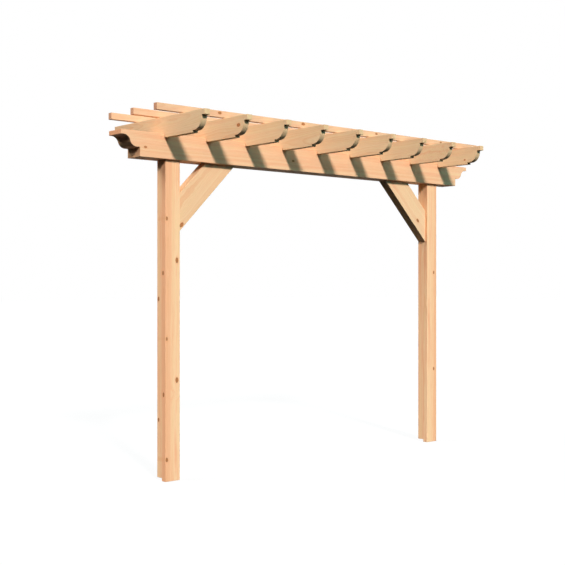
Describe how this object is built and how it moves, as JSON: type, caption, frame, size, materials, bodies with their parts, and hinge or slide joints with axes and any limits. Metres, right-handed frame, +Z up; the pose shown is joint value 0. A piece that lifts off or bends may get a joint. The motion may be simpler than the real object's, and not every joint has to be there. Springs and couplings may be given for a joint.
{
  "type": "wooden pergola",
  "caption": "Wooden pergola arch: posts with knee braces carry a beam with ogee ends, crossed by notched rafters and battens.",
  "frame": {"origin": "middle of the flat face under the left post's foot, at ground level", "axes": "+X along the beam towards the right post, +Y from the front of the pergola to its back, +Z up"},
  "size_m": [3.54, 1.081, 2.527],
  "materials": {
    "posts": "planed softwood, unfinished",
    "beam": "planed softwood, unfinished",
    "braces": "planed softwood, unfinished",
    "rafters": "planed softwood, unfinished",
    "battens": "planed softwood, unfinished"
  },
  "bodies": {
    "root": {"left_post": "posts", "right_post": "posts", "beam": "beam", "left_brace": "braces", "right_brace": "braces", "rafter_1": "rafters", "rafter_2": "rafters", "rafter_3": "rafters", "rafter_4": "rafters", "rafter_5": "rafters", "rafter_6": "rafters", "rafter_7": "rafters", "rafter_8": "rafters", "rafter_9": "rafters", "batten_front": "battens", "batten_middle": "battens", "batten_back": "battens"}
  },
  "joints": []
}
